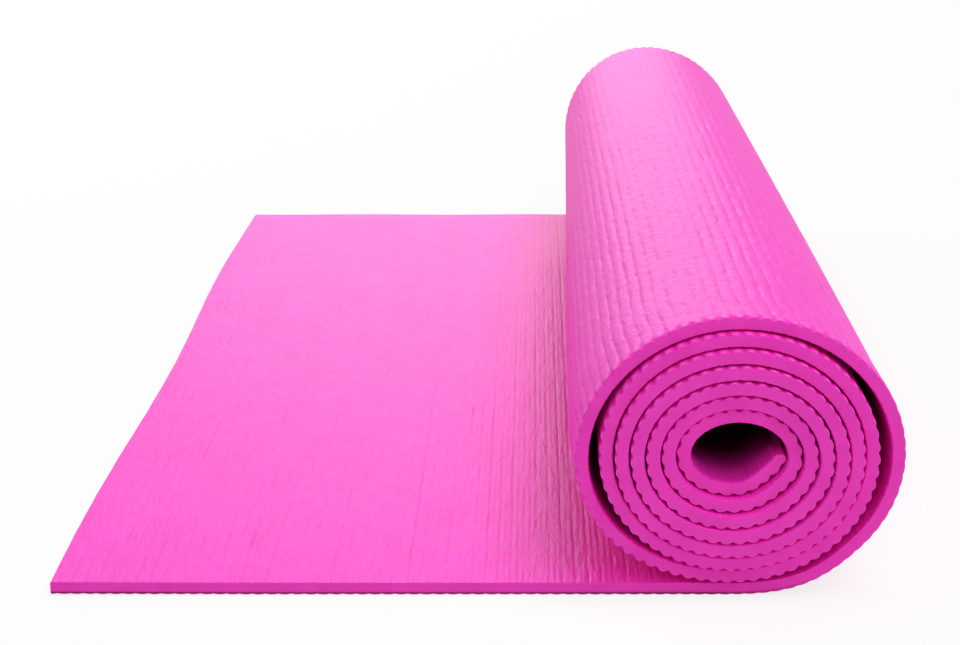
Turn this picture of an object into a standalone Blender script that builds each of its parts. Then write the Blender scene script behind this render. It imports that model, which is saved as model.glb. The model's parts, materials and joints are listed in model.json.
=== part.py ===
"""A yoga mat of cast foam, wound up from one end, with its other end laid out on the floor.

Metres, +Z up, floor at z = 0. The roll's axis runs along Y and the laid part points to -X. The origin
is on the floor under the middle of the mat's box. The sheet is three bonded layers: the face foam
that is stood on, the woven scrim that the foam is cast around, and the ribbed grip foam underneath.
"""

import math

import bpy
import numpy as np

# The sheet: its cut size, its layers, and the glue line on each side of the scrim
MAT_LENGTH = 1.830
MAT_WIDTH = 0.610
FACE_FOAM_THICKNESS = 0.0017
SCRIM_THICKNESS = 0.0003
GRIP_FOAM_THICKNESS = 0.0024
BOND_CLEARANCE = 0.00025

# The grip side's ribs, which run across the mat: flat crests with a groove between them
RIB_PITCH = 0.0048
RIB_DEPTH = 0.0009
RIB_CREST_SHARE = 0.56

# The roll: its core, the air between turns, how far the outer turn hangs loose on each side, and how
# much looser it hangs low down than high up
LAID_LENGTH = 0.2521
CORE_HALF_WIDTH = 0.0136
CORE_HALF_HEIGHT = 0.0092
TURN_CLEARANCE = 0.00078
RIGHT_SLACK = 0.0032
LEFT_SLACK = 0.0031
LOW_SLACK_SHARE = 0.8
FACET_SAG = 0.00016

# The bend lines, in the grooves between ribs, where the laid part swings up round the roll
BEND_ANGLE = math.radians(30)
BEND_CLEARANCE = 0.0003
WRAP_CLEARANCE = 0.0025

# Counts and angles that only set how finely the winding is worked out
FULL_TURN = 2 * math.pi
SAMPLES = 8000
HALVINGS = 48

FACE_PINK = (0.86, 0.11, 0.52, 1.0)
GRIP_PINK = (0.80, 0.08, 0.46, 1.0)
SCRIM_WHITE = (0.78, 0.70, 0.74, 1.0)

SHEET_THICKNESS = GRIP_FOAM_THICKNESS + SCRIM_THICKNESS + FACE_FOAM_THICKNESS + 2 * BOND_CLEARANCE
SCRIM_BOTTOM = GRIP_FOAM_THICKNESS + BOND_CLEARANCE
FACE_FOAM_BOTTOM = SCRIM_BOTTOM + SCRIM_THICKNESS + BOND_CLEARANCE
TURN_PITCH = SHEET_THICKNESS + TURN_CLEARANCE
WOUND_LENGTH = MAT_LENGTH - LAID_LENGTH


def wind(turns):
    """The winding with this many turns, from the floor in to the core: the distance along the middle
    of the sheet, the points of its outer side, and the directions from there to its inner side."""
    angle = np.linspace(0, turns * FULL_TURN, SAMPLES)
    growth = SHEET_THICKNESS + TURN_PITCH * (turns - angle / FULL_TURN)
    half_width = CORE_HALF_WIDTH + growth
    half_height = CORE_HALF_HEIGHT + growth
    across = np.sin(angle)
    up = -np.cos(angle)
    outer = np.stack([half_width * across, half_height * up + half_height[0]], axis=1)
    outward = np.stack([across / half_width, up / half_height], axis=1)
    outward /= np.linalg.norm(outward, axis=1, keepdims=True)
    slack = np.where(angle < math.pi, RIGHT_SLACK, LEFT_SLACK) * (angle < FULL_TURN)
    loose = slack * across**2 * (1 - LOW_SLACK_SHARE * up)
    outer += outward * loose[:, None]
    forward = np.gradient(outer, axis=0)
    forward /= np.linalg.norm(forward, axis=1, keepdims=True)
    inward = np.stack([-forward[:, 1], forward[:, 0]], axis=1)
    middle = outer + inward * SHEET_THICKNESS / 2
    steps = np.linalg.norm(np.diff(middle, axis=0), axis=1)
    return np.concatenate([[0], np.cumsum(steps)]), outer, inward


def turns_for(length):
    """How many turns use up this length of sheet, found by halving the range that holds it."""
    fewest = 0
    most = length / (FULL_TURN * min(CORE_HALF_WIDTH, CORE_HALF_HEIGHT))
    for _ in range(HALVINGS):
        turns = (fewest + most) / 2
        if wind(turns)[0][-1] < length:
            fewest = turns
        else:
            most = turns
    return turns


TURNS = turns_for(WOUND_LENGTH)
WOUND, OUTER_SIDE, INWARD = wind(TURNS)


def place(along, height):
    """The (x, z) of a point of the sheet. along is its distance past the line under the roll's axis,
    less than zero on the laid part, and height is its distance from the rib crests."""
    if along <= 0:
        return along, height
    x, z = (np.interp(along, WOUND, OUTER_SIDE[:, i] + height * INWARD[:, i]) for i in range(2))
    return float(x), float(z)


def facet_ends(start, stop):
    """The distances along the sheet where a plain layer's facets meet: only its ends on the laid part,
    and on the winding so many that each facet's chord leaves the curve by FACET_SAG."""
    if stop <= 0:
        return [start, stop]
    heading = np.unwrap(np.arctan2(INWARD[:, 1], INWARD[:, 0]))
    curvature = np.abs(np.gradient(heading, WOUND))
    density = np.sqrt(curvature / (8 * FACET_SAG))
    count = np.concatenate([[0], np.cumsum((density[1:] + density[:-1]) / 2 * np.diff(WOUND))])
    most = np.interp([max(start, 0), stop], WOUND, count)
    wanted = np.linspace(*most, math.ceil(most[1] - most[0]) + 1)
    wound_ends = [float(d) for d in np.interp(wanted, count, WOUND)]
    return [start] + wound_ends if start < 0 else wound_ends


def rib_points(start, stop):
    """The ribbed underside between two distances along the sheet, as (distance, height) pairs."""
    corners = ((0, RIB_DEPTH), ((1 - RIB_CREST_SHARE) / 2, 0), ((1 + RIB_CREST_SHARE) / 2, 0))
    ribs = range(math.floor(start / RIB_PITCH) - 1, math.ceil(stop / RIB_PITCH) + 1)
    points = [((rib + share) * RIB_PITCH, height) for rib in ribs for share, height in corners]
    distances, heights = zip(*points)
    inside = [p for p in points if start < p[0] < stop]
    ends = [(d, float(np.interp(d, distances, heights))) for d in (start, stop)]
    return [ends[0]] + inside + [ends[1]]


def layer_outline(start, stop, bottom, top, ribbed):
    """The closed (x, z) outline of one layer between two distances along the sheet."""
    ends = facet_ends(start, stop)
    under = rib_points(start, stop) if ribbed else [(along, bottom) for along in ends]
    over = [(along, top) for along in reversed(ends)]
    return [place(along, height) for along, height in under + over]


def bend_lines():
    """The distances from the roll's axis, all less than zero, of the lines where the laid part bends.
    They are the corners of an outline of straight runs that goes round the roll, turning by BEND_ANGLE
    at each, and each lies in the groove between ribs that is nearest."""
    outer_turn = OUTER_SIDE[: round(SAMPLES / TURNS)]
    bends = math.floor(FULL_TURN / BEND_ANGLE)
    facing = [(-math.sin(i * BEND_ANGLE), -math.cos(i * BEND_ANGLE)) for i in range(bends)]
    reach = [float(np.max(outer_turn @ np.array(f))) + WRAP_CLEARANCE for f in facing]
    reach[0] = -SHEET_THICKNESS
    corners = []
    for i in range(1, bends):
        corners.append(np.linalg.solve(np.array(facing[i - 1 : i + 1]), np.array(reach[i - 1 : i + 1])))
    runs = [-corners[0][0]] + [float(np.linalg.norm(b - a)) for a, b in zip(corners, corners[1:])]
    lines = [-round(sum(runs[: i + 1]) / RIB_PITCH) * RIB_PITCH for i in range(len(runs))]
    return [line for line, run in zip(lines, runs) if line - run / 3 > -LAID_LENGTH]


def material(name, colour, roughness):
    made = bpy.data.materials.new(name)
    made.use_nodes = True
    shader = made.node_tree.nodes["Principled BSDF"]
    shader.inputs["Base Color"].default_value = colour
    shader.inputs["Roughness"].default_value = roughness
    shader.inputs["Metallic"].default_value = 0
    made.diffuse_color = colour
    return made


def empty(name, location, parent, collection):
    made = bpy.data.objects.new(name, None)
    made.empty_display_size = RIB_PITCH
    made.location = location
    made.parent = parent
    collection.objects.link(made)
    return made


def layer(name, outline, pivot, parent, finish, collection):
    """One layer as a flat outline drawn upright and extruded to the mat's width, with its origin at
    the pivot, which is its bend line."""
    curve = bpy.data.curves.new(name, "CURVE")
    curve.dimensions = "2D"
    curve.fill_mode = "BOTH"
    curve.extrude = MAT_WIDTH / 2
    spline = curve.splines.new("POLY")
    spline.points.add(len(outline) - 1)
    for point, (x, z) in zip(spline.points, outline):
        point.co = (x - pivot[0], z - pivot[1], 0, 1)
    spline.use_cyclic_u = True
    curve.materials.append(finish)
    made = bpy.data.objects.new(name, curve)
    made.rotation_euler = (math.pi / 2, 0, 0)
    made.parent = parent
    collection.objects.link(made)
    return made


def section(name, start, stop, pivot, parent, finishes, collection):
    """The three layers of the stretch of sheet between two distances from the roll's axis."""
    layers = (
        ("grip_foam", 0, GRIP_FOAM_THICKNESS, True),
        ("scrim", SCRIM_BOTTOM, SCRIM_BOTTOM + SCRIM_THICKNESS, False),
        ("face_foam", FACE_FOAM_BOTTOM, SHEET_THICKNESS, False),
    )
    for what, bottom, top, ribbed in layers:
        outline = layer_outline(start, stop, bottom, top, ribbed)
        layer(f"{name}_{what}", outline, pivot, parent, finishes[what], collection)


def least_turn_gap():
    """The least distance between the rib crests of one turn and the face side of the turn round it."""
    crests = np.array([place(*p) for p in rib_points(0, WOUND_LENGTH)])
    face = np.array([place(along, SHEET_THICKNESS) for along in facet_ends(0, WOUND_LENGTH)])
    start = face[:-1]
    run = face[1:] - start
    share = ((crests[:, None] - start) * run).sum(axis=2) / (run**2).sum(axis=1)
    nearest = start + np.clip(share, 0, 1)[:, :, None] * run
    return float(np.linalg.norm(crests[:, None] - nearest, axis=2).min())


def main():
    for old in list(bpy.data.objects):
        bpy.data.objects.remove(old, do_unlink=True)
    collection = bpy.data.collections.new("yoga_mat")
    bpy.context.scene.collection.children.link(collection)
    finishes = {
        "grip_foam": material("grip_foam", GRIP_PINK, 0.85),
        "scrim": material("scrim", SCRIM_WHITE, 0.9),
        "face_foam": material("face_foam", FACE_PINK, 0.8),
    }

    middle = (float(OUTER_SIDE[:, 0].max()) - LAID_LENGTH) / 2
    root = empty("mat", (-middle, 0, 0), None, collection)
    lines = bend_lines()
    half_gap = BEND_CLEARANCE / 2
    section("roll", lines[0] + half_gap, WOUND_LENGTH, (0, 0), root, finishes, collection)

    parent = root
    parent_at = (0, 0)
    for number, line in enumerate(lines, start=1):
        last = number == len(lines)
        stop = -LAID_LENGTH if last else lines[number] + half_gap
        name = "free_end" if last else f"laid_{number}"
        pivot = (line, SHEET_THICKNESS)
        place_in_parent = (pivot[0] - parent_at[0], 0, pivot[1] - parent_at[1])
        parent = empty(f"bend_{number}", place_in_parent, parent, collection)
        parent_at = pivot
        section(name, stop, line - half_gap, pivot, parent, finishes, collection)

    print(f"{TURNS:.3f} turns, {len(lines)} bend lines, first {1000 * lines[0]:.2f} mm from the axis")
    print(f"least gap between turns {1000 * least_turn_gap():.3f} mm")


main()
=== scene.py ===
"""The look of a half unrolled yoga mat of ribbed foam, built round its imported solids.

Metres, in the solids' own frame: floor at z = 0, the roll's axis along Y, the laid part to -X. A point of
the mat is given by its distance along the sheet from the line under the roll's axis, its place across the
mat (y), and its height above the rib crests of the sheet's underside.
"""

import json
import math

import bpy
import numpy as np
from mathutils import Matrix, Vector


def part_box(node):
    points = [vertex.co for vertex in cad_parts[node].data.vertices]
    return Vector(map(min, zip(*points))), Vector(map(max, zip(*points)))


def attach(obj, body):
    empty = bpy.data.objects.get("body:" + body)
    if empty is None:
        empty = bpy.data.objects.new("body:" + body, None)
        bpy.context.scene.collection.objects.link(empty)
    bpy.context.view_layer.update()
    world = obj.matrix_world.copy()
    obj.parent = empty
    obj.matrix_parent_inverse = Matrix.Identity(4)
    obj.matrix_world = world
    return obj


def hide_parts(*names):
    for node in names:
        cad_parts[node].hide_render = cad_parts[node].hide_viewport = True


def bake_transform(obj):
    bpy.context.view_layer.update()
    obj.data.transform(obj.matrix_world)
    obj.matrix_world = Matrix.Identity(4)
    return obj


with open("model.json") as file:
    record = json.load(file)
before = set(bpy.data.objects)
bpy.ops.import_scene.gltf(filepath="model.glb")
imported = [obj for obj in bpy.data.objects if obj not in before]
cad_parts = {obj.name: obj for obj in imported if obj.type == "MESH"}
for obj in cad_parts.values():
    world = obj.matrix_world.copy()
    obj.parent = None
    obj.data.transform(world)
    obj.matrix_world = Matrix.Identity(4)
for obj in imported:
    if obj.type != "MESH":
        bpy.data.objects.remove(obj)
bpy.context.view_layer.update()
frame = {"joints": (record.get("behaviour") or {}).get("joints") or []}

# The sheet and its winding, with the same sizes as the solids
MAT_LENGTH = 1.830
MAT_WIDTH = 0.610
SHEET_THICKNESS = 0.0049
LAYER_LINE = 0.0028
RIB_PITCH = 0.0048
LAID_LENGTH = 0.2521
TURN_CLEARANCE = 0.00078
TURN_PITCH = SHEET_THICKNESS + TURN_CLEARANCE
WOUND_LENGTH = MAT_LENGTH - LAID_LENGTH
FULL_TURN = 2 * math.pi

# The roll's cross-section at its near end, a little way in, where its outer turn bulges, and at its far
# end, which is round and leans over
NEAR_END = dict(core=(0.0136, 0.0090), slack=(0.0040, 0.0031), low_slack=(0.1, 0.8), sag=0.0012, lean=0)
BULGE = dict(core=(0.0136, 0.0092), slack=(0.0030, 0.0047), low_slack=(0.1, 0.6), sag=0.0012, lean=0)
FAR_END = dict(core=(0.0128, 0.0128), slack=(-0.0006, -0.0024), low_slack=(0, 0), sag=0, lean=-0.028)
BULGE_FROM_EDGE = 0.040
SAG_ANGLE = math.radians(26)

# How far the middle turns stand out of the near end, and how flat the inner end's last stretch lies
TELESCOPE = 0.0072
TELESCOPE_FROM_TURN = 0.3
TELESCOPE_TURNS = 7.4
INNER_FLAT = 0.0017
INNER_PRESS = 0.0003
INNER_FLAT_TURNS = 0.25

# The surfaces: scalloped ribs with uneven grooves below, fine ribs above, all a little rounded at the cut
RIB_DEPTH = 0.00018
RIB_DEPTH_AT_CUT = 0.00080
LAID_SHARE_AT_CUT = 0.35
DENT_DEPTH = 0.00024
FINE_PITCH = RIB_PITCH / 2
FINE_DEPTH = 0.00018
FINE_ROUNDNESS = 0.8
FINE_STRENGTHS = (1.2, 0.6)
FINE_UNEVEN = 0.3
WOBBLE = 0.00035
FULLER = 0.00045
FULLER_FROM, FULLER_OVER = 0.02, 0.10
GRIP_ROUND = 0.0003
FACE_ROUND = 0.0002
FREE_END_ROUND = 0.0006
INNER_END_ROUND = 0.0020
SWELL = 0.00004

# Where the ribs change: how far in from the cut they are deep, from where to where along the sheet they
# deepen to their full share there, and the top of the roll, where they are deeper still
CUT_REACH = 0.003
DEEPER_FROM, DEEPER_BY = 0.10, 0.14
TOP_FROM, TOP_UNTIL, TOP_EDGE = 0.11, 0.34, 0.03
TOP_MORE = 0.5
VALLEY_SHARE = 0.28
FAR_FADE = 0.6
FAR_FADE_FROM_Y, FAR_FADE_OVER = -0.2, 0.5
FACE_WOBBLE_SHARE = 0.3

# The laid part's small waves: off the floor along its far edge and at its near corner, and out of line
# along its free end
LIFT = 0.0003
LIFT_FROM_Y = 0.16
LIFT_REACH = 0.05
LIFT_WAVE = 0.105
LIFT_WAVE_SHIFT = 0.207
LIFT_WAVE_SHARE = 0.45
CORNER_LIFT = 0.0002
CORNER_FROM_Y, CORNER_WIDTH = 0.19, 0.115
CORNER_FROM, CORNER_LENGTH = 0.17, 0.083
BOW_WAVE = 0.38
BOW_WAVE_SHIFT = 0.035
BOW_DEPTH = 0.0014
BOW_SLANT = 0.0027
BOW_FROM, BOW_LENGTH = 0.165, 0.088

# How the winding is worked out: its points, the halvings that find its turns, and the turns that the
# inner end's flat stretch shows through, each fainter by this share
WINDING_POINTS = 8000
HALVINGS = 48
MOST_TURNS = 20
FLAT_LAPS = 4
FLAT_FADE = 0.75

# How the cross-section changes across the mat, and where shade is painted into the hollow middle
BULGE_TO_FAR_POWER = 1.3
TUNNEL_MOUTH = 0.002
TUNNEL_FLOOR_MOUTH = 0.008
TUNNEL_FADE = 0.020
TUNNEL_TURNS = 1.05
TUNNEL_TURNS_FADE = 0.05

# Noise over the sheet: the table it is made from and where in it the sheet lies, and its cell across the
# mat for the ribs' wobble, which stops this far from the cut
NOISE_ROWS, NOISE_COLUMNS = 97, 89
NOISE_ROW_SHIFT, NOISE_COLUMN_SHIFT = 31.7, 23.3
WOBBLE_CELL = 0.011
WOBBLE_REACH = 0.01

# The least distances kept between points, between seams, and between a bend's zone and a piece's end
TINY = 0.00001
SEAM_CLEAR = 0.0001


def smooth(value):
    value = np.clip(value, 0, 1)
    return value * value * (3 - 2 * value)


def wind(turns, core, slack, low_slack, sag, lean):
    """The winding with this many turns: distances along the middle of the sheet, the points of its outer
    side, the directions from there to its inner side, and the turn that each point is on."""
    angle = np.linspace(0, turns * FULL_TURN, WINDING_POINTS)
    lap = angle / FULL_TURN
    growth = SHEET_THICKNESS + TURN_PITCH * (turns - lap)
    half_width, half_height = (half + growth for half in core)
    across = np.sin(angle)
    up = -np.cos(angle)
    outer = np.stack([half_width * across, half_height * up + half_height[0]], axis=1)
    outward = np.stack([across / half_width, up / half_height], axis=1)
    outward /= np.linalg.norm(outward, axis=1, keepdims=True)
    right = angle < math.pi
    loose = np.where(right, *slack) * (lap < 1) * across**2 * (1 - np.where(right, *low_slack) * up)
    to_end = [np.clip((lap - turns + k) / INNER_FLAT_TURNS + 1, 0, 1) for k in range(FLAT_LAPS)]
    flat = INNER_FLAT * sum(FLAT_FADE**k * np.sin(math.pi * to) ** 2 for k, to in enumerate(to_end))
    flat -= INNER_PRESS * to_end[0] ** 2
    low_right = sag * np.sin(math.pi * np.clip(angle / (2 * SAG_ANGLE), 0, 1)) ** 2
    outer += outward * (loose + low_right - flat)[:, None]
    outer[:, 0] += lean * outer[:, 1]
    forward = np.gradient(outer, axis=0)
    forward /= np.linalg.norm(forward, axis=1, keepdims=True)
    inward = np.stack([-forward[:, 1], forward[:, 0]], axis=1)
    middle = outer + inward * SHEET_THICKNESS / 2
    steps = np.linalg.norm(np.diff(middle, axis=0), axis=1)
    return np.concatenate([[0], np.cumsum(steps)]), outer, inward, lap


def winding(shape):
    """The winding of that cross-section that uses up the mat, as one table with a row for each point: the
    distance along the sheet, the point, the direction inward, and the turn. A flat row leads into it."""
    fewest, most = 0, MOST_TURNS
    for _ in range(HALVINGS):
        turns = (fewest + most) / 2
        if wind(turns, **shape)[0][-1] < WOUND_LENGTH:
            fewest = turns
        else:
            most = turns
    wound, outer, inward, lap = wind(turns, **shape)
    return np.concatenate([[[-1, -1, 0, 0, 1, 0]], np.column_stack([wound, outer, inward, lap])])


SECTIONS = [winding(shape) for shape in (NEAR_END, BULGE, FAR_END)]
AXIS_X = float(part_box("free_end_grip_foam")[0].x) + LAID_LENGTH


def uneven(along, y, cell_along, cell_y, seed):
    """Smooth noise from -1 to 1 over the sheet, with features of about one cell."""
    table = np.random.default_rng(seed).uniform(-1, 1, (NOISE_ROWS, NOISE_COLUMNS))
    u = np.asarray(along)[:, None] / cell_along + NOISE_ROW_SHIFT
    v = np.asarray(y)[None, :] / cell_y + NOISE_COLUMN_SHIFT
    u, v = np.broadcast_arrays(u, v)
    i, j = np.floor(u).astype(int), np.floor(v).astype(int)
    a, b = smooth(u - i), smooth(v - j)
    corner = [table[(i + p) % NOISE_ROWS, (j + q) % NOISE_COLUMNS] for p in (0, 1) for q in (0, 1)]
    low = corner[0] * (1 - b) + corner[1] * b
    high = corner[2] * (1 - b) + corner[3] * b
    return low * (1 - a) + high * a


def lift(along, y):
    """How far the laid part stands off the floor, in soft waves along its far edge and at its corner."""
    across = np.clip((y - LIFT_FROM_Y) / (MAT_WIDTH / 2 - LIFT_FROM_Y), 0, 1) ** 2
    wave = 1 + LIFT_WAVE_SHARE * (np.sin((along + LIFT_WAVE_SHIFT) * FULL_TURN / LIFT_WAVE) - 1)
    corner = smooth((-y - CORNER_FROM_Y) / CORNER_WIDTH) * smooth((-along - CORNER_FROM) / CORNER_LENGTH)
    return smooth(-along / LIFT_REACH) * (LIFT * across * wave + CORNER_LIFT * corner)


def bow(along, y):
    """How far the free end's edge stands out of line."""
    wave = BOW_DEPTH * (np.cos((y + BOW_WAVE_SHIFT) * FULL_TURN / BOW_WAVE) - 0.5)
    return (wave - BOW_SLANT * y) * smooth((-along - BOW_FROM) / BOW_LENGTH)


def telescope(lap):
    """How far this turn stands out of the near end of the roll."""
    return TELESCOPE * np.sin(math.pi * np.clip((lap - TELESCOPE_FROM_TURN) / TELESCOPE_TURNS, 0, 1))


def place(along, y, height):
    """The points of the sheet at these distances, places across it and heights, all of one shape."""
    at_section = []
    for table in SECTIONS:
        values = [np.interp(along, table[:, 0], table[:, column]) for column in range(1, 6)]
        at_section.append(np.stack(values, axis=-1))
    from_edge = (y + MAT_WIDTH / 2)[..., None]
    to_bulge = smooth(from_edge / BULGE_FROM_EDGE)
    to_far = np.clip((from_edge - BULGE_FROM_EDGE) / (MAT_WIDTH - BULGE_FROM_EDGE), 0, 1)
    to_far = to_far**BULGE_TO_FAR_POWER
    near, bulge, far = at_section
    row = (near * (1 - to_bulge) + bulge * to_bulge) * (1 - to_far) + far * to_far
    inward = row[..., 2:4] / np.linalg.norm(row[..., 2:4], axis=-1, keepdims=True)
    at = row[..., :2] + inward * height[..., None]
    x = at[..., 0] + AXIS_X + bow(along, y)
    z = at[..., 1] + lift(along, y)
    return np.stack([x, y - telescope(row[..., 4]), z], axis=-1)


def from_cut(y):
    """How far this is from the nearer long edge."""
    return MAT_WIDTH / 2 - np.abs(y)


def fuller(along):
    """How much thicker the foam is where it is wound: it swells and closes the gaps between the turns."""
    return FULLER * smooth((along - FULLER_FROM) / FULLER_OVER)[:, None]


def rounding(y, depth, reach):
    """How far the surface is drawn in beside the cut: by this depth, over this reach."""
    share = 1 - np.clip(from_cut(y) / reach, 0, 1)
    return depth * (1 - np.sqrt(1 - share**2))


def end_rounding(along):
    """The same beside the mat's two ends."""
    free = 1 - np.clip((along + LAID_LENGTH) / FREE_END_ROUND, 0, 1)
    inner = 1 - np.clip((WOUND_LENGTH - along) / INNER_END_ROUND, 0, 1)
    drop = FREE_END_ROUND * (1 - np.sqrt(1 - free**2)) + INNER_END_ROUND * (1 - np.sqrt(1 - inner**2))
    return drop[:, None]


def tunnel(along, y):
    """How deep inside the roll's hollow middle this is, from 0 at its mouths to 1: the mask for the shade
    painted there.
    """
    lap = np.interp(along, SECTIONS[1][:, 0], SECTIONS[1][:, 5])
    innermost = smooth((lap - SECTIONS[1][-1, 5] + TUNNEL_TURNS) / TUNNEL_TURNS_FADE)[:, None]
    floor_there = smooth(np.cos(FULL_TURN * lap))[:, None]
    start = TUNNEL_MOUTH + TUNNEL_FLOOR_MOUTH * floor_there
    return innermost * smooth((from_cut(y)[None, :] - start) / TUNNEL_FADE)


def wobble(along, y, kind):
    """How far the ribs stray from their straight lines."""
    most = WOBBLE if kind == "grip" else WOBBLE * FACE_WOBBLE_SHARE
    stray = uneven(along, y, RIB_PITCH, WOBBLE_CELL, seed=14)
    return most * stray * smooth(from_cut(y) / WOBBLE_REACH)[None, :]


def grip_heights(along, y):
    """The underside: broad rounded ribs, deeper beside the cut and fainter towards the far end, with dents
    along their grooves."""
    share = along / RIB_PITCH - np.floor(along / RIB_PITCH)
    pillow = (0.5 + 0.5 * np.cos(FULL_TURN * share))[:, None]
    valley_there = (1 - smooth(np.minimum(share, 1 - share) / VALLEY_SHARE))[:, None]
    valley = np.round(along / RIB_PITCH)
    fade = 1 - FAR_FADE * smooth((y[None, :] - FAR_FADE_FROM_Y) / FAR_FADE_OVER)
    at_cut = (1 - smooth(from_cut(y) / CUT_REACH)[None, :]) * fade
    deeper = smooth((along - DEEPER_FROM) / (DEEPER_BY - DEEPER_FROM))
    at_top = smooth((along - TOP_FROM) / TOP_EDGE) * smooth((TOP_UNTIL - along) / TOP_EDGE)
    share_there = LAID_SHARE_AT_CUT + (1 - LAID_SHARE_AT_CUT) * deeper + TOP_MORE * at_top
    depth_at_cut = RIB_DEPTH_AT_CUT * share_there[:, None]
    dents = np.clip(0.3 + 1.4 * uneven(valley, y, 0.61, 0.0066, seed=11), 0, 1) * (1 - at_cut)
    depth = RIB_DEPTH * fade * (1 - at_cut) + depth_at_cut * at_cut
    drop = (0.5 * pillow + 0.5 * valley_there) * depth + valley_there * DENT_DEPTH * dents * fade
    swell = SWELL * (1 + uneven(along, y, 0.006, 0.011, seed=13))
    return drop + swell + rounding(y, GRIP_ROUND, GRIP_ROUND)[None, :] + end_rounding(along)


def face_rounding(along, y):
    """How far the face is drawn in beside the cut, further where the foam is fuller."""
    return rounding(y[None, :], FACE_ROUND + fuller(along), FACE_ROUND + 4 * fuller(along))


def face_heights(along, y):
    """The upper side: fine ribs of unequal depth, every other one fainter."""
    share = np.clip(along / FINE_PITCH - np.floor(along / FINE_PITCH), FINE_SHARES[0], FINE_SHARES[-1])
    groove = 1 - np.sin(np.pi * share) ** FINE_ROUNDNESS
    valley = np.round(along / FINE_PITCH)
    strength = np.where(valley % 2 == 0, *FINE_STRENGTHS)[:, None]
    slow = uneven(valley, y, 0.83, 0.045, seed=21)
    quick = uneven(valley, y, 0.83, 0.012, seed=22)
    depth = 1 + FINE_UNEVEN * slow + FINE_UNEVEN * quick
    swell = SWELL * (1 + uneven(along, y, 0.010, 0.016, seed=23))
    drop = groove[:, None] * FINE_DEPTH * strength * depth + swell
    return SHEET_THICKNESS + fuller(along) - drop - face_rounding(along, y) - end_rounding(along)


def columns(start, stop, pitch, shares):
    """Distances along the sheet where a ribbed surface has its points, its two ends included."""
    ribs = np.arange(math.floor(start / pitch + 0.5), math.floor(stop / pitch + 0.5))
    inner = (ribs[:, None] + np.array(shares)[None, :]).ravel() * pitch
    if start == -LAID_LENGTH:
        beside = start + END_SHARES * FREE_END_ROUND
        inner = np.concatenate([beside, inner[inner > start + FREE_END_ROUND]])
    if stop == WOUND_LENGTH:
        beside = stop - END_SHARES[::-1] * INNER_END_ROUND
        inner = np.concatenate([inner[inner < stop - INNER_END_ROUND], beside])
    inner = inner[(inner > start + TINY) & (inner < stop - TINY)]
    return np.concatenate([[start], inner, [stop]])


# Where the surfaces have their points: shares of a rib, of a fine rib and of an end's rounding, distances
# in from the cut, and how far apart the other rows are; and how the roll's outer turn is cut in three
RIB_SHARES = (0.0, 0.05, 0.10, 0.17, 0.30, 0.50, 0.70, 0.83, 0.90, 0.95)
FINE_SHARES = (0.06, 0.35, 0.65, 0.94)
END_SHARES = np.array([0.02, 0.08, 0.2, 0.36, 0.6, 1])
CUT_ROWS = np.array([0, 0.00005, 0.00018, 0.0004, 0.0007, 0.0011])
CUT_MARGIN = 0.0015
DENSE_SPACING = 0.0021
MEDIUM_SPACING = 0.005
FIRST_LAP = 0.3540
OUTER_CUT_SHARES = (0.31, 0.64, 1.0)


def rows(spacing):
    """Places across the mat, this far apart, with more beside each cut to round it."""
    half = MAT_WIDTH / 2
    count = round((MAT_WIDTH - 2 * CUT_MARGIN) / spacing)
    inner = (np.arange(count + 1) - count / 2) * spacing
    return np.concatenate([CUT_ROWS - half, inner, (half - CUT_ROWS)[::-1]])


DENSE_ROWS = rows(DENSE_SPACING)
MEDIUM_ROWS = rows(MEDIUM_SPACING)
ROLL_ROWS = np.concatenate([CUT_ROWS, [0.0015, 0.004, 0.009, 0.019, 0.037, 0.070, 0.115, 0.175, 0.240]])
ROLL_ROWS = np.concatenate([ROLL_ROWS - MAT_WIDTH / 2, [0], (MAT_WIDTH / 2 - ROLL_ROWS)[::-1]])


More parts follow.
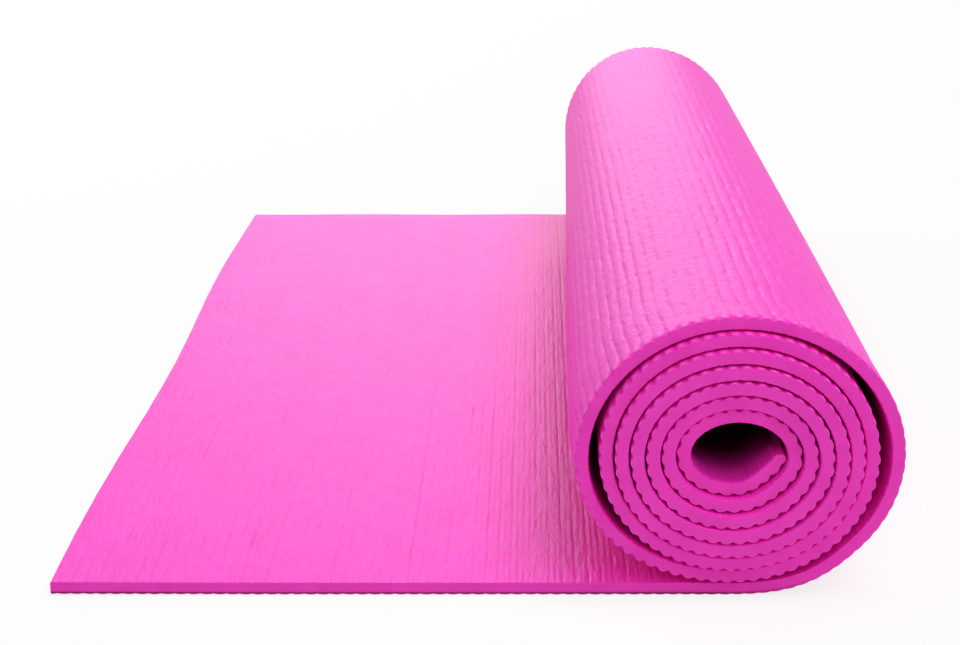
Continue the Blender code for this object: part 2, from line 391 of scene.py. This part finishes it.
class Solid:
    """Gathers the points and faces of one closed piece."""

    def __init__(self):
        self.points, self.uvs, self.grooves, self.tunnels, self.heights = [], [], [], [], []
        self.quads, self.polygons = [], []
        self.count = 0

    def grid(self, along, y, heights, groove, upper, matter, kind):
        """A surface over the sheet. Returns the numbers of its points, one row for each distance."""
        across, there = np.meshgrid(y, along)
        at = place(there + wobble(along, y, kind), across, heights)
        number = self.count + np.arange(at.shape[0] * at.shape[1]).reshape(at.shape[:2])
        self.count += number.size
        self.points.append(at.reshape(-1, 3))
        flat = np.stack(np.broadcast_arrays(along[:, None], y[None, :]), axis=2)
        self.uvs.append(flat.reshape(-1, 2))
        self.grooves.append(np.broadcast_to(groove, number.shape).ravel())
        self.tunnels.append((tunnel(along, y) * upper).ravel())
        self.heights.append(heights.ravel())
        a, b, c, d = number[:-1, :-1], number[1:, :-1], number[1:, 1:], number[:-1, 1:]
        around = (a, b, c, d) if upper else (a, d, c, b)
        self.quads.append((np.stack([p.ravel() for p in around], axis=1), matter))
        return number

    def rim(self, lower, upper, lower_marks, upper_marks, ahead, matter):
        """The wall between two edges that run the same way, cut where the marks are."""
        pairs = list(zip(lower_marks, upper_marks))
        for (low_a, up_a), (low_b, up_b) in zip(pairs, pairs[1:]):
            loop = list(lower[low_a : low_b + 1]) + list(upper[up_a : up_b + 1])[::-1]
            self.polygons.append((loop if ahead else loop[::-1], matter))

    def build(self, name, materials):
        points = np.concatenate(self.points)
        uvs = np.concatenate(self.uvs)
        quads = np.concatenate([q for q, _ in self.quads])
        matter = np.concatenate([np.full(len(q), m) for q, m in self.quads])
        loops = np.concatenate([quads.ravel()] + [np.array(p) for p, _ in self.polygons])
        sizes = np.concatenate([np.full(len(quads), 4), [len(p) for p, _ in self.polygons]]).astype(int)
        matter = np.concatenate([matter, [m for _, m in self.polygons]]).astype(int)
        starts = np.concatenate([[0], np.cumsum(sizes)[:-1]])
        mesh = bpy.data.meshes.new(name)
        mesh.vertices.add(len(points))
        mesh.vertices.foreach_set("co", points.astype(np.float32).ravel())
        mesh.loops.add(len(loops))
        mesh.loops.foreach_set("vertex_index", loops.astype(np.int32))
        mesh.polygons.add(len(sizes))
        mesh.polygons.foreach_set("loop_start", starts.astype(np.int32))
        mesh.polygons.foreach_set("material_index", matter.astype(np.int32))
        mesh.update(calc_edges=True)
        flattened = mesh.uv_layers.new(name="sheet")
        flattened.data.foreach_set("uv", uvs[loops].astype(np.float32).ravel())
        sharp = mesh.attributes.new("sharp_face", "BOOLEAN", "FACE")
        sharp.data.foreach_set("value", np.arange(len(sizes)) >= len(quads))
        stored = {"groove": self.grooves, "tunnel": self.tunnels, "height": self.heights}
        for attribute, values in stored.items():
            made = mesh.attributes.new(attribute, "FLOAT", "POINT")
            made.data.foreach_set("value", np.concatenate(values).astype(np.float32))
        for material in materials:
            mesh.materials.append(material)
        made = bpy.data.objects.new(name, mesh)
        bpy.context.scene.collection.objects.link(made)
        return made


# Material numbers of a piece: its outer surface, and its bonded side and cut edges
SURFACE, HIDDEN, CUT = 0, 1, 1


def marks(columns_there, wanted):
    """Which of the columns there lie nearest to the wanted ones."""
    return [int(np.argmin(np.abs(columns_there - w))) for w in wanted]


def layer(name, start, stop, kind, y_outer, y_inner, materials):
    """One closed layer of the sheet between two distances: the face foam or the grip foam. Its outer
    surface has the rows y_outer, and the bonded side, where the layers meet, the rows y_inner."""
    solid = Solid()
    seams = np.arange(math.ceil(start / RIB_PITCH - 0.5), math.floor(stop / RIB_PITCH + 0.5) + 1) * RIB_PITCH
    inside = (seams > start + SEAM_CLEAR) & (seams < stop - SEAM_CLEAR)
    seams = np.unique(np.concatenate([[start], seams[inside], [stop]]))
    if kind == "grip":
        along = columns(start, stop, RIB_PITCH, RIB_SHARES)
        heights = grip_heights(along, y_outer)
        drop = heights - rounding(y_outer, GRIP_ROUND, GRIP_ROUND) - end_rounding(along)
        groove = np.clip(drop / (RIB_DEPTH + DENT_DEPTH), 0, 1)
    else:
        along = columns(start, stop, FINE_PITCH, FINE_SHARES)
        heights = face_heights(along, y_outer)
        level = SHEET_THICKNESS + fuller(along) - end_rounding(along)
        drop = level - heights - face_rounding(along, y_outer)
        groove = np.clip(drop / (2 * FINE_DEPTH), 0, 1)
    middle = np.full((len(seams), len(y_inner)), LAYER_LINE)
    outer = solid.grid(along, y_outer, heights, groove, kind == "face", SURFACE, kind)
    inner = solid.grid(seams, y_inner, middle, 0, kind == "grip", HIDDEN, kind)
    lower, upper = (outer, inner) if kind == "grip" else (inner, outer)
    col_marks = [marks(along, seams), list(range(len(seams)))]
    row_marks = [marks(y_outer, y_inner), list(range(len(y_inner)))]
    if kind == "face":
        col_marks.reverse()
        row_marks.reverse()
    solid.rim(lower[:, 0], upper[:, 0], *col_marks, True, CUT)
    solid.rim(lower[:, -1], upper[:, -1], *col_marks, False, CUT)
    solid.rim(lower[0], upper[0], *row_marks, False, CUT)
    solid.rim(lower[-1], upper[-1], *row_marks, True, CUT)
    return solid.build(name, materials)


def node_of(tree, kind, inputs=None, **settings):
    """A new node with these settings. An input is a value or another node's socket."""
    made = tree.nodes.new(kind)
    for key, value in settings.items():
        setattr(made, key, value)
    for key, value in (inputs or {}).items():
        if isinstance(value, bpy.types.NodeSocket):
            tree.links.new(value, made.inputs[key])
        else:
            made.inputs[key].default_value = value
    return made


def maths(tree, operation, a, b=None, clamp=False):
    inputs = {0: a} if b is None else {0: a, 1: b}
    return node_of(tree, "ShaderNodeMath", inputs, operation=operation, use_clamp=clamp).outputs[0]


def mixed(tree, share, a, b):
    """The colour a, with this share of b."""
    made = node_of(tree, "ShaderNodeMix", data_type="RGBA")
    for index, value in ((0, share), (6, a), (7, b)):
        if isinstance(value, bpy.types.NodeSocket):
            tree.links.new(value, made.inputs[index])
        else:
            made.inputs[index].default_value = value
    return made.outputs[2]


def stretched(tree, coordinates, scale, detail, offset):
    """Noise whose features are 1 / scale long in each direction."""
    moved = node_of(tree, "ShaderNodeVectorMath", {0: coordinates, 1: scale}, operation="MULTIPLY")
    shifted = node_of(tree, "ShaderNodeVectorMath", {0: moved.outputs[0], 1: offset}, operation="ADD")
    inputs = {"Vector": shifted.outputs[0], "Scale": 1.0, "Detail": detail, "Roughness": 0.55}
    return node_of(tree, "ShaderNodeTexNoise", inputs, noise_dimensions="3D").outputs[0]


def ramp(tree, value, low, high):
    """0 up to the low value, 1 from the high one, and a straight line between."""
    inputs = {"Value": value, "From Min": low, "From Max": high, "To Min": 0.0, "To Max": 1.0}
    return node_of(tree, "ShaderNodeMapRange", inputs, clamp=True).outputs[0]


# The foam's gloss and grain, and its colours: where it is plain, blotched paler, lit by a painted highlight
# on the rib crests by the cut and in painted shade deep in the hollow middle, and at the cut edge, there
# deeper in places and in painted shade low on the laid part
FOAM_ROUGHNESS = 0.45
FOAM_IOR = 1.30
FOAM_SPECULAR = 0.35
CUT_ROUGHNESS = 0.75
CUT_IOR = 1.45
BUMP_HEIGHT = 0.00010
CUT_BUMP_HEIGHT = 0.00012
FOAM_COLOUR = (0.97, 0.030, 0.585, 1)
FOAM_PALE = (1, 0.0465, 0.62925, 1)
FOAM_PAINTED_CREST_HIGHLIGHT = (1.0, 0.25, 0.80, 1)
FOAM_PAINTED_HOLLOW_SHADE = (0.10, 0.001, 0.03, 1)
CUT_COLOUR = (0.86, 0.040, 0.51, 1)
CUT_DEEP = (0.80, 0.028, 0.46, 1)
CUT_PAINTED_CONTACT_SHADE = (0.20, 0.001, 0.09, 1)


def foam(name, deep, weave, pits, crest_highlight_strength, grain_y):
    """Matt cast foam. Its grooves and the small pits along them are painted darker as shade, its tone is a
    little blotchy, the threads of the scrim show through as short dashes both ways, and fine pores roughen
    it. The rib crests beside the cut get a painted highlight, and the roll's hollow middle painted shade.
    The strengths of those dashes, pits and crest highlights are given, and how fast the grain changes along
    Y."""
    made = bpy.data.materials.new(name)
    made.use_nodes = True
    tree = made.node_tree
    shader = tree.nodes["Principled BSDF"]
    sheet = node_of(tree, "ShaderNodeUVMap", uv_map="sheet").outputs[0]
    blotch = stretched(tree, sheet, (55, 40, 1), 3.0, (3.1, 7.7, 0.5))
    dash_y = ramp(tree, stretched(tree, sheet, (900, 170, 1), 1.0, (1.7, 4.2, 2.5)), 0.52, 0.68)
    dash_x = ramp(tree, stretched(tree, sheet, (330, 900, 1), 1.0, (8.3, 2.9, 4.5)), 0.64, 0.80)
    streak = ramp(tree, stretched(tree, sheet, (800, 45, 1), 1.0, (4.3, 7.9, 1.5)), 0.50, 0.66)
    threads = maths(tree, "MAXIMUM", maths(tree, "MAXIMUM", dash_y, dash_x), streak)
    fine = stretched(tree, sheet, (1700, 4 * grain_y, 1), 2.0, (5.1, 6.4, 6.5))
    mottle = stretched(tree, sheet, (430, grain_y, 1), 2.0, (2.2, 5.8, 3.5))
    groove = node_of(tree, "ShaderNodeAttribute", attribute_name="groove").outputs["Fac"]
    along_groove = ramp(tree, stretched(tree, sheet, (130, 200, 1), 1.0, (6.6, 1.9, 8.5)), 0.50, 0.70)
    pit = maths(tree, "MULTIPLY", maths(tree, "MULTIPLY", along_groove, ramp(tree, groove, 0.25, 0.8)), pits)
    # Painted shade: the grooves, and the pits along them, are coloured darker where shade falls in them.
    painted_groove_shade = maths(tree, "MULTIPLY", maths(tree, "POWER", groove, 1.5), 0.3)
    dashing = maths(tree, "MULTIPLY", threads, weave)
    deepened = maths(tree, "ADD", maths(tree, "ADD", painted_groove_shade, dashing), pit, True)
    tone = mixed(tree, deepened, FOAM_COLOUR, deep)
    cloudy = maths(tree, "MULTIPLY", ramp(tree, blotch, 0.35, 0.75), 0.5)
    # Painted shade: deep in the roll's hollow middle the colour goes nearly black.
    inside = node_of(tree, "ShaderNodeAttribute", attribute_name="tunnel").outputs["Fac"]
    across = node_of(tree, "ShaderNodeSeparateXYZ", {"Vector": sheet}).outputs[1]
    # Painted highlight: the rib crests close to the cut are coloured a pale, whitish pink.
    rim = ramp(tree, maths(tree, "ABSOLUTE", across), MAT_WIDTH / 2 - 0.0040, MAT_WIDTH / 2 - 0.0008)
    crest = maths(tree, "SUBTRACT", 1.0, ramp(tree, groove, 0.1, 0.7))
    painted_crest_highlight = maths(tree, "MULTIPLY", maths(tree, "MULTIPLY", rim, crest), crest_highlight_strength)
    clouded_and_highlit = mixed(tree, painted_crest_highlight, mixed(tree, cloudy, tone, FOAM_PALE), FOAM_PAINTED_CREST_HIGHLIGHT)
    tree.links.new(mixed(tree, inside, clouded_and_highlit, FOAM_PAINTED_HOLLOW_SHADE), shader.inputs["Base Color"])
    shader.inputs["Roughness"].default_value = FOAM_ROUGHNESS
    shader.inputs["IOR"].default_value = FOAM_IOR
    shader.inputs["Specular IOR Level"].default_value = FOAM_SPECULAR
    thread_marks = maths(tree, "MULTIPLY", threads, 0.35)
    marks_there = maths(tree, "ADD", thread_marks, maths(tree, "MULTIPLY", pit, 2.0))
    grain = maths(tree, "ADD", maths(tree, "MULTIPLY", fine, 0.4), maths(tree, "MULTIPLY", mottle, 5.0))
    rise = maths(tree, "SUBTRACT", grain, marks_there)
    inputs = {"Height": rise, "Strength": 1.0, "Distance": BUMP_HEIGHT}
    tree.links.new(node_of(tree, "ShaderNodeBump", inputs).outputs[0], shader.inputs["Normal"])
    return made


def cut_foam(name):
    """The cut edge of the sheet: fine closed cells, a little uneven in tone, and on the laid part a painted
    shade low down, beside the ribs, for the shadow where it meets the floor."""
    made = bpy.data.materials.new(name)
    made.use_nodes = True
    tree = made.node_tree
    shader = tree.nodes["Principled BSDF"]
    place_there = node_of(tree, "ShaderNodeTexCoord").outputs["Object"]
    cells = stretched(tree, place_there, (1500, 1500, 1500), 2.0, (0.3, 0.8, 0.1))
    broad = stretched(tree, place_there, (90, 90, 90), 2.0, (2.3, 0.4, 1.1))
    tone = mixed(tree, ramp(tree, broad, 0.3, 0.7), CUT_COLOUR, CUT_DEEP)
    # Painted shade: low on the cut edge of the laid part the colour goes dark, as the shadow under the mat's
    # edge.
    height = node_of(tree, "ShaderNodeAttribute", attribute_name="height").outputs["Fac"]
    sheet = node_of(tree, "ShaderNodeUVMap", uv_map="sheet").outputs[0]
    along = node_of(tree, "ShaderNodeSeparateXYZ", {"Vector": sheet}).outputs[0]
    clear_of_painted_shade = maths(tree, "MAXIMUM", ramp(tree, height, 0.0008, 0.0014), ramp(tree, along, -0.01, 0.035))
    tree.links.new(mixed(tree, clear_of_painted_shade, CUT_PAINTED_CONTACT_SHADE, tone), shader.inputs["Base Color"])
    shader.inputs["Roughness"].default_value = CUT_ROUGHNESS
    shader.inputs["IOR"].default_value = CUT_IOR
    inputs = {"Height": cells, "Strength": 0.8, "Distance": CUT_BUMP_HEIGHT}
    tree.links.new(node_of(tree, "ShaderNodeBump", inputs).outputs[0], shader.inputs["Normal"])
    return made


# The deep colours are those of the scrim's dashes and of the shade painted in the grooves and pits.
FACE = foam("face_foam_surface", deep=(0.74, 0.008, 0.37, 1), weave=0.26, pits=0.4, crest_highlight_strength=0.0, grain_y=70)
GRIP = foam("grip_foam_surface", deep=(0.80, 0.012, 0.43, 1), weave=0.16, pits=0.5, crest_highlight_strength=0.35, grain_y=230)
EDGE = cut_foam("cut_edge")


def finish_piece(nodes):
    """Hides the solids that the piece is drawn in place of."""
    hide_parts(*nodes)


def dress_laid_part(bends, joints, ends):
    """For each bend, a stretch of both layers from the middle of one body to that of the next."""
    for joint, bend, stop, start in zip(joints, bends, ends, ends[1:]):
        child = joint["child"]
        for kind, surface, spread in (("face", FACE, MEDIUM_ROWS), ("grip", GRIP, DENSE_ROWS)):
            piece = layer(f"{child}_{kind}", start, stop, kind, spread, spread, [surface, EDGE])
            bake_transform(piece)
            nodes = [f"{child}_{kind}_foam"] + ([f"{child}_scrim"] if kind == "face" else [])
            finish_piece(nodes)


def dress_roll(start_of_roll):
    """The face foam in one, the grip foam's outer turn in three, and the grip foam's inner turns."""
    cuts = [round(FIRST_LAP * share / RIB_PITCH) * RIB_PITCH for share in OUTER_CUT_SHARES]
    pieces = [("roll_face", start_of_roll, WOUND_LENGTH, "face", ROLL_ROWS, ROLL_ROWS)]
    sparse_rows = np.append(DENSE_ROWS[:-1:8], DENSE_ROWS[-1])
    for number, (start, stop) in enumerate(zip([start_of_roll] + cuts, cuts), start=1):
        pieces.append((f"roll_grip_outer_{number}", start, stop, "grip", DENSE_ROWS, sparse_rows))
    pieces.append(("roll_grip_inner", cuts[-1], WOUND_LENGTH, "grip", ROLL_ROWS, ROLL_ROWS))
    for name, start, stop, kind, y_outer, y_inner in pieces:
        piece = layer(name, start, stop, kind, y_outer, y_inner, [FACE if kind == "face" else GRIP, EDGE])
        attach(piece, "roll")
        nodes = ["roll_face_foam", "roll_scrim"] if kind == "face" else ["roll_grip_foam"]
        finish_piece(nodes)


# The joints' lines, and the rib grooves half-way between them, where one piece ends and the next starts
joints = sorted(frame["joints"], key=lambda joint: -joint["pos_m"][0])
bends = [joint["pos_m"][0] - AXIS_X for joint in joints]
middles = [round((a + b) / 2 / RIB_PITCH) * RIB_PITCH for a, b in zip(bends, bends[1:])]
ends = [round(bends[0] / 2 / RIB_PITCH) * RIB_PITCH] + middles + [-LAID_LENGTH]
dress_laid_part(bends, joints, ends)
dress_roll(ends[0])

# The stage: the floor, the light, and the camera, with its focal length and optical centre in pixels of
# the photograph's frame
FLOOR_SIZE = 12
FLOOR_MIDDLE_Y = 2
FLOOR_GAP = 0.0002
FLOOR_WHITENESS = 0.8
DOME_STRENGTH = 0.32
LIT_POINT = (0, 0, 0.03)
FRAME_PIXELS = 960
FOCAL_PIXELS = 2138.2
CENTRE_PIXEL = 533.1
SENSOR_WIDTH = 36
EYE = (0.0218, -1.0404, 0.3128)
LOOKING_DOWN = 15.783


def white_floor():
    """A plain floor that shows white, with some of the object's shadow on it."""
    bpy.ops.mesh.primitive_plane_add(size=FLOOR_SIZE, location=(0, FLOOR_MIDDLE_Y, -FLOOR_GAP))
    floor = bpy.context.object
    floor.name = "floor"
    ground = bpy.data.materials.new("floor_white")
    ground.use_nodes = True
    tree = ground.node_tree
    tree.nodes.clear()
    camera_ray = node_of(tree, "ShaderNodeLightPath").outputs["Is Camera Ray"]
    lit = node_of(tree, "ShaderNodeBsdfDiffuse", {"Color": (0.95, 0.95, 0.95, 1)})
    bright = node_of(tree, "ShaderNodeEmission", {"Color": (1, 1, 1, 1), "Strength": 1.0})
    shown = {0: FLOOR_WHITENESS, 1: lit.outputs[0], 2: bright.outputs[0]}
    seen = node_of(tree, "ShaderNodeMixShader", shown)
    both = node_of(tree, "ShaderNodeMixShader", {0: camera_ray, 1: lit.outputs[0], 2: seen.outputs[0]})
    node_of(tree, "ShaderNodeOutputMaterial", {"Surface": both.outputs[0]})
    floor.data.materials.append(ground)


def white_world():
    """Soft light from all round, and plain white wherever the camera or a reflection looks."""
    world = bpy.data.worlds.new("studio")
    world.use_nodes = True
    tree = world.node_tree
    tree.nodes.clear()
    path = node_of(tree, "ShaderNodeLightPath")
    shiny = maths(tree, "MAXIMUM", path.outputs["Is Glossy Ray"], path.outputs["Is Transmission Ray"])
    straight = maths(tree, "MAXIMUM", path.outputs["Is Camera Ray"], shiny)
    dome = node_of(tree, "ShaderNodeBackground", {"Color": (1, 1, 1, 1), "Strength": DOME_STRENGTH})
    white = node_of(tree, "ShaderNodeBackground", {"Color": (1, 1, 1, 1), "Strength": 1.0})
    sky = node_of(tree, "ShaderNodeMixShader", {0: straight, 1: dome.outputs[0], 2: white.outputs[0]})
    node_of(tree, "ShaderNodeOutputWorld", {"Surface": sky.outputs[0]})
    bpy.context.scene.world = world


def softbox(name, place_there, size, energy):
    """A round lamp of this size that faces the mat."""
    lamp = bpy.data.lights.new(name, "AREA")
    lamp.shape = "DISK"
    lamp.size = size
    lamp.energy = energy
    made = bpy.data.objects.new(name, lamp)
    made.location = place_there
    made.rotation_euler = (Vector(LIT_POINT) - Vector(place_there)).to_track_quat("-Z", "Y").to_euler()
    bpy.context.scene.collection.objects.link(made)


def soft_sun(name, direction, energy, spread):
    """Even light from one direction, spread over this angle."""
    lamp = bpy.data.lights.new(name, "SUN")
    lamp.energy = energy
    lamp.angle = math.radians(spread)
    made = bpy.data.objects.new(name, lamp)
    made.rotation_euler = Vector(direction).to_track_quat("Z", "Y").to_euler()
    bpy.context.scene.collection.objects.link(made)


def photo_camera():
    """The photograph's viewpoint, solved from the mat's corners and the roll's outline."""
    camera = bpy.data.cameras.new("camera")
    camera.sensor_width = SENSOR_WIDTH
    camera.lens = FOCAL_PIXELS / FRAME_PIXELS * SENSOR_WIDTH
    camera.shift_x = -(CENTRE_PIXEL - FRAME_PIXELS / 2) / FRAME_PIXELS
    eye = bpy.data.objects.new("camera", camera)
    eye.location = EYE
    eye.rotation_euler = (math.radians(90 - LOOKING_DOWN), 0, 0)
    bpy.context.scene.collection.objects.link(eye)
    bpy.context.scene.camera = eye


white_floor()
white_world()
soft_sun("above", (0.31, -0.08, 0.95), 1.35, 35)
softbox("back", (-0.15, 3.0, 0.9), 1.6, 15)
softbox("left", (-1.1, 1.0, 0.9), 1.2, 6)
softbox("front", (0.5, -1.5, 1.1), 1.2, 7)
photo_camera()
bpy.context.scene.view_settings.view_transform = "Standard"
